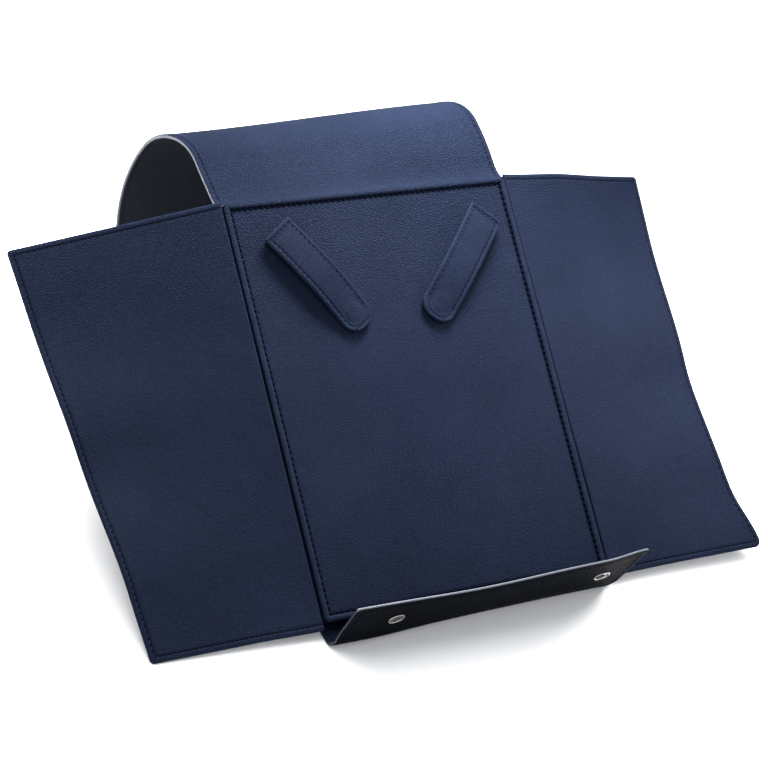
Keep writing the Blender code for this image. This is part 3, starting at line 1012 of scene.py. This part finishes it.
PAD_INSET = 4.0
PAD_STITCH_PITCH = 3.4
PAD_CROWN = 0.5
PAD_EDGE = -1.0
PAD_LOW = -5.0
PAD_SEAM = -0.3
PAD_CLOTH = {
    "quality": 5, "mass": 0.2, "tension_stiffness": 12, "compression_stiffness": 12,
    "bending_stiffness": 0.6, "vertex_group_mass": "pin", "use_pressure": True,
    "uniform_pressure_force": 4, "shrink_min": -0.012,
}


def build_pad():
    width, height = BOARD_WIDTH - 2 * PAD_INSET, BOARD_HEIGHT - 2 * PAD_INSET
    x, y = np.meshgrid(stations(width, 4), stations(height, 4))
    reach = round_corner(np.minimum(x, width - x), np.minimum(y, height - y), 1.6)[2]
    top = PAD_EDGE + 0.6 * rounding(reach, 2.4)
    points = np.concatenate([
        np.stack([PAD_INSET + x, -PAD_INSET - y, level], -1).reshape(-1, 3)
        for level in (top, np.full_like(top, PAD_LOW))])
    index = np.arange(x.size).reshape(x.shape)
    a, b, c, d = index[:-1, :-1], index[:-1, 1:], index[1:, 1:], index[1:, :-1]
    sheets = np.stack([np.stack([a, d, c, b], -1), np.stack([a, b, c, d], -1) + x.size], 2)
    ring = np.concatenate([index[0, :-1], index[:-1, -1], index[-1, :0:-1], index[:0:-1, 0]])
    after = np.roll(ring, -1)
    wall = np.stack([ring, after, after + x.size, ring + x.size], -1)
    # Painted shade: the pad darkens along its edge, where it meets the welt.
    groove = bump(reach, 0.6, 0.9)
    pad = add_mesh("pad", points, np.concatenate([sheets.reshape(-1, 4), wall]).tolist(),
                   ("lining",), attributes={"groove": np.tile(groove.ravel(), 2),
                                            "wear_and_highlight": np.zeros(2 * x.size)})
    pinned = np.flatnonzero(reach.ravel() < 2.0)
    swell_pad(pad, [*pinned.tolist(), *range(x.size, 2 * x.size)], x.size)
    carry(pad, "board", "lining_leather", "pad_cover", "foam_pad")


def raise_pad(pad, lift):
    """Raises the pad's top vertices along the pad's normal, by millimetres."""
    for vertex, amount in zip(pad.data.vertices, lift):
        vertex.co += Vector(OUT * MM * float(amount))


def swell_pad(pad, pin_indices, top_count):
    """Cloth with pressure, pinned at the seam; its swelling is then scaled to the crown."""
    group = pad.vertex_groups.new(name="pin")
    group.add(pin_indices, 1.0, "REPLACE")
    rest = np.array([v.co for v in pad.data.vertices])
    cloth = pad.modifiers.new("cloth", "CLOTH")
    for key, value in PAD_CLOTH.items():
        setattr(cloth.settings, key, value)
    cloth.settings.effector_weights.gravity = 0
    scene = bpy.context.scene
    for step in range(1, 21):
        scene.frame_set(step)
    graph = bpy.context.evaluated_depsgraph_get()
    swollen = pad.evaluated_get(graph).to_mesh()
    moved = np.array([v.co for v in swollen.vertices])
    pad.evaluated_get(graph).to_mesh_clear()
    pad.modifiers.remove(cloth)
    pad.vertex_groups.remove(group)
    scene.frame_set(1)
    lift = ((moved - rest)[:top_count] @ OUT) / MM
    size = np.percentile(lift, 97)
    print(f"pad cloth: swelling {size:.2f} mm before it is scaled")
    raise_pad(pad, np.clip(lift * PAD_CROWN / max(size, 1e-6), 0, PAD_CROWN * 1.3))


def build_pad_stitches():
    """The seam round the pad, close inside the welt."""
    points = rim_path(PAD_INSET + 0.55, 1.4, 4)[0]
    closed = np.concatenate([points, points[:1]])
    gaps = np.linalg.norm(np.diff(closed, axis=0), axis=1)
    knots = np.concatenate([[0], np.cumsum(gaps)])
    count = round(knots[-1] / PAD_STITCH_PITCH)
    marks = np.arange(count) * knots[-1] / count
    x, y = (np.interp(marks, knots, closed[:, k]) for k in (0, 1))
    ahead = [np.interp(marks + 0.5, knots, closed[:, k]) for k in (0, 1)]
    along = unit(np.stack([ahead[0] - x, ahead[1] - y, np.zeros_like(x)], -1))
    normal = np.tile(CASE_OUT, (len(x), 1))
    here = np.stack([x, y, np.full_like(x, PAD_SEAM)], -1)
    stitches = add_stitches("pad_stitches", (here, along, np.cross(normal, along), normal),
                            length=2.3, radius=0.55)
    carry(stitches, "board", "lining_leather")


# ---------------------------------------------------------------- straps

STRAP_WIDTH = 20.8
STRAP_CORNER = 9.0
STRAPS = {
    "left": {"at": (26.6, -17.8), "turn": -56, "length": 72},
    "right": {"at": (160.1, -21.3), "turn": -132, "length": 76},
}
STRAP_STUD_FROM_TIP = 11
STRAP_LEVEL = 2.4
STRAP_ROOT_RISE = 1.6
STRAP_ARCH = 3.2
STRAP_PITCH = 3.1
STRAP_STITCH_INSET = 2.5
PATCH_LENGTH = 8
PATCH_WIDTH = 17


def strap_outline(length, u, v):
    """Share along and across a strap, as distances, with round corners at its free end."""
    half = STRAP_WIDTH / 2
    y = (v - 0.5) * STRAP_WIDTH
    tip, side, reach = round_corner(length - u * length, half - abs(y), STRAP_CORNER)
    x, y = length - tip, np.sign(y) * (half - side)
    reach = np.minimum(reach, round_corner(x, half - abs(y), 0.8)[2])
    return x, y, reach, reach


def build_strap(side):
    """A strap of two layers of leather, sewn round its edge, with its hidden press stud."""
    strap = STRAPS[side]
    length = strap["length"]
    turn = math.radians(strap["turn"])
    along = np.array((math.cos(turn), math.sin(turn), 0))
    across = np.array((-math.sin(turn), math.cos(turn), 0))
    stud = length - STRAP_STUD_FROM_TIP
    u = stations(length, 2.2) / length
    v = stations(STRAP_WIDTH, 2.0) / STRAP_WIDTH

    def lift(x):
        raised = STRAP_ROOT_RISE * (1 - smooth(x, 2, 30))
        arch = STRAP_ARCH * np.sin(np.pi * np.clip((x - 4) / (length - 14), 0, 1))
        return STRAP_LEVEL + raised + arch

    def place(a, b):
        x, y, _, _ = strap_outline(length, a, b)
        height = lift(x) - 0.5 * (abs(y) / STRAP_WIDTH * 2) ** 2
        points = (np.array((*strap["at"], 0)) + x[..., None] * along + y[..., None] * across
                  + height[..., None] * CASE_OUT)
        slope = (lift(x + 0.05) - lift(x - 0.05)) / 0.1
        return points, unit(CASE_OUT - slope[..., None] * along)

    def swell(a, b):
        x, y, _, _ = strap_outline(length, a, b)
        away = np.hypot(x - stud, y)
        return 0.28 * (1 - smooth(away, 4.2, 6.0)) - 0.2 * bump(away, 6.4, 0.9)

    panel = Panel(u, v, place, lambda a, b: strap_outline(length, a, b)[2:], half=0.8,
                  relief=strap_relief, swell=swell)
    piece = panel.solid(f"{side}_strap_leather", ("lining", "lining", "edge"),
                        edge_width=0.12)
    stitches = add_stitches(f"{side}_strap_stitches", strap_stitches(panel, length),
                            length=1.8, radius=0.34)
    grain = np.full(len(piece.data.vertices), 0.3, np.float32)
    piece.data.attributes["grain"].data.foreach_set("value", grain)
    for item in (piece, stitches):
        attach(item, f"{side}_strap")
        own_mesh(item)
    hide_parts(f"{side}_strap_outer", f"{side}_strap_lining")
    build_anchor(side, strap, along, across)


def strap_relief(sewn):
    rim = 0.2 * bump(sewn, 0.9, 0.7)
    groove = -0.26 * bump(sewn, STRAP_STITCH_INSET, 0.5)
    return rim + groove


def strap_stitches(panel, length):
    inset = STRAP_STITCH_INSET
    marks = np.arange(2.2, length - STRAP_CORNER - 0.5, STRAP_PITCH) / length
    low = inset / STRAP_WIDTH
    middle = np.linspace(inset + 1.2, STRAP_WIDTH - inset - 1.2, 7) / STRAP_WIDTH
    square = np.arange(inset, STRAP_WIDTH - inset + 0.1, STRAP_PITCH) / STRAP_WIDTH
    return panel.frames_on((
        (marks, low, 1, 0), (marks, 1 - low, 1, 0), (1 - inset / length, middle, 0, 1),
        (inset / length, square, 0, 1)))


def build_anchor(side, strap, along, across):
    """The square of leather under the strap's end that sews it to the pad."""

    def place(u, v):
        x, y = 1 + u * PATCH_LENGTH, (v - 0.5) * PATCH_WIDTH
        points = (np.array((*strap["at"], 0.75)) + x[..., None] * along + y[..., None] * across)
        return points, np.broadcast_to(CASE_OUT, points.shape)

    def reach(u, v):
        near = round_corner(np.minimum(u, 1 - u) * PATCH_LENGTH,
                            np.minimum(v, 1 - v) * PATCH_WIDTH, 0.8)[2]
        return near, near

    u = np.array((0, 0.01, 0.04, 0.1, 0.2, 0.5, 0.8, 0.9, 0.96, 0.99, 1))
    v = np.array((0, 0.005, 0.02, 0.05, 0.1, 0.3, 0.5, 0.7, 0.9, 0.95, 0.98, 0.995, 1))
    panel = Panel(u, v, place, reach, half=0.75, relief=None)
    piece = panel.solid(f"{side}_strap_patch", ("lining",) * 3)
    carry(piece, "board", "lining_leather", f"{side}_strap_anchor")


# ---------------------------------------------------------------- press studs


def stud_profile():
    """A press stud's rim, dish and post, from the middle of its base outwards and back."""
    radius = SNAP_RADIUS
    profile = [(0.01, 0), (radius * 0.96, 0)]
    profile += arc((radius - 0.36, 0.3), 0.36, -25, 180, 12)
    profile += [(radius * 0.78, 0.16), (2.2, 0.12), (1.65, 0.2), (1.5, 0.8)]
    profile += arc((1.0, 0.82), 0.5, 10, 90, 6)
    profile.append((0.01, 1.33))
    return profile


def build_snaps(panel, crease, lean):
    """The two press studs on the outside of the bottom flap."""
    for side, x in zip(("left", "right"), SNAP_X):
        u = np.array([x - BOTTOM_INSET])

        def miss(share):
            point = panel.place(u, np.array([share]))[0][0]
            return abs(np.dot(point[1:] - crease, lean) - SNAP_FROM_CREASE)

        v = np.array([min(np.linspace(5.2, 6.2, 101), key=miss)])
        at, normal = panel.face(u, v)[0], panel.place(u, v)[1][0]
        # The dish takes the darker nickel copy: painted shade in the hollow.
        snap = turned(f"{side}_press_stud", stud_profile(), at - normal * 0.1, normal,
                      ("nickel", "painted_shade_nickel"), dark=SNAP_DISH)
        carry(snap, "bottom_flap", "snap_metal", f"{side}_snap_stud")


def dress_cad_nodes():
    """Procedural materials for the CAD nodes that stay."""
    looks = {"backboard": "board"}
    for side in ("left", "right"):
        for part in ("strap_stud", "strap_socket", "snap_socket", "snap_cap"):
            looks[f"{side}_{part}"] = "nickel"
    for node, look in looks.items():
        mesh = frame["nodes"][node].data
        mesh.materials.clear()
        mesh.materials.append(LOOKS[look])


# ---------------------------------------------------------------- stage

CAMERA_AT = (-668.7, -382.4, 1247.7)
CAMERA_LOOK = (0.50068, 0.18469, -0.84570)
CAMERA_RIGHT = (0.85713, -0.24239, 0.45451)
CAMERA_LENS = 128.4
FLOOR_HALF = 6
FLOOR_Z = -0.0002
# Each lamp's name, place, aim, size in metres, watts and spread in degrees.
LAMPS = (
    ("key", (190, 235, 135), (90, -60, 0), 0.16, 5.6, 130),
    ("fill", (-250, 150, 500), (20, -110, 0), 0.4, 0.8, 90),
    ("back", (-300, 150, -40), (60, 25, -85), 0.12, 1.0, 80),
    ("front", (400, -430, 60), (180, -238, 25), 0.1, 0.35, 60),
    ("side", (420, -40, 120), (245, -110, -10), 0.16, 0.5, 90),
)


def build_camera():
    data = bpy.data.cameras.new("camera")
    data.lens = CAMERA_LENS
    data.clip_end = 20
    camera = add_object("camera", data)
    look = Vector(np.array(CAMERA_LOOK) @ AXES).normalized()
    right = Vector(np.array(CAMERA_RIGHT) @ AXES)
    right = (right - look * right.dot(look)).normalized()
    up = right.cross(look)
    turn = Matrix((right, up, -look)).transposed()
    camera.matrix_world = Matrix.Translation(Vector(world(CAMERA_AT))) @ turn.to_4x4()
    bpy.context.scene.camera = camera


def add_area(name, at, aim, size, power, spread):
    """A round lamp, placed in the case frame."""
    data = bpy.data.lights.new(name, "AREA")
    data.shape = "DISK"
    data.size = size
    data.energy = power
    data.spread = math.radians(spread)
    light = add_object(name, data)
    light.location = world(at)
    light.rotation_mode = "QUATERNION"
    light.rotation_quaternion = Vector(world(aim) - world(at)).to_track_quat("-Z", "Y")


def build_stage():
    """A pale floor, a bright surround and soft lamps."""
    floor = bpy.data.meshes.new("floor")
    corners = [(-1, -1), (1, -1), (1, 1), (-1, 1)]
    floor.from_pydata([(FLOOR_HALF * x, FLOOR_HALF * y, FLOOR_Z) for x, y in corners], [],
                      [(0, 1, 2, 3)])
    floor.materials.append(floor_paper("floor_paper"))
    add_object("floor", floor)
    world_data = bpy.data.worlds.new("studio")
    world_data.use_nodes = True
    background = world_data.node_tree.nodes["Background"]
    background.inputs["Color"].default_value = (0.95, 0.97, 1, 1)
    background.inputs["Strength"].default_value = 1.08
    bpy.context.scene.world = world_data
    for lamp in LAMPS:
        add_area(*lamp)
    bpy.context.scene.view_settings.view_transform = "Standard"


def main():
    build_camera()
    build_stage()
    build_rim()
    build_pad()
    build_pad_stitches()
    for side in ("left", "right"):
        build_side_flap(side)
        build_side_hinge(side)
        build_strap(side)
    build_top_flap()
    build_snaps(*build_bottom())
    dress_cad_nodes()


main()
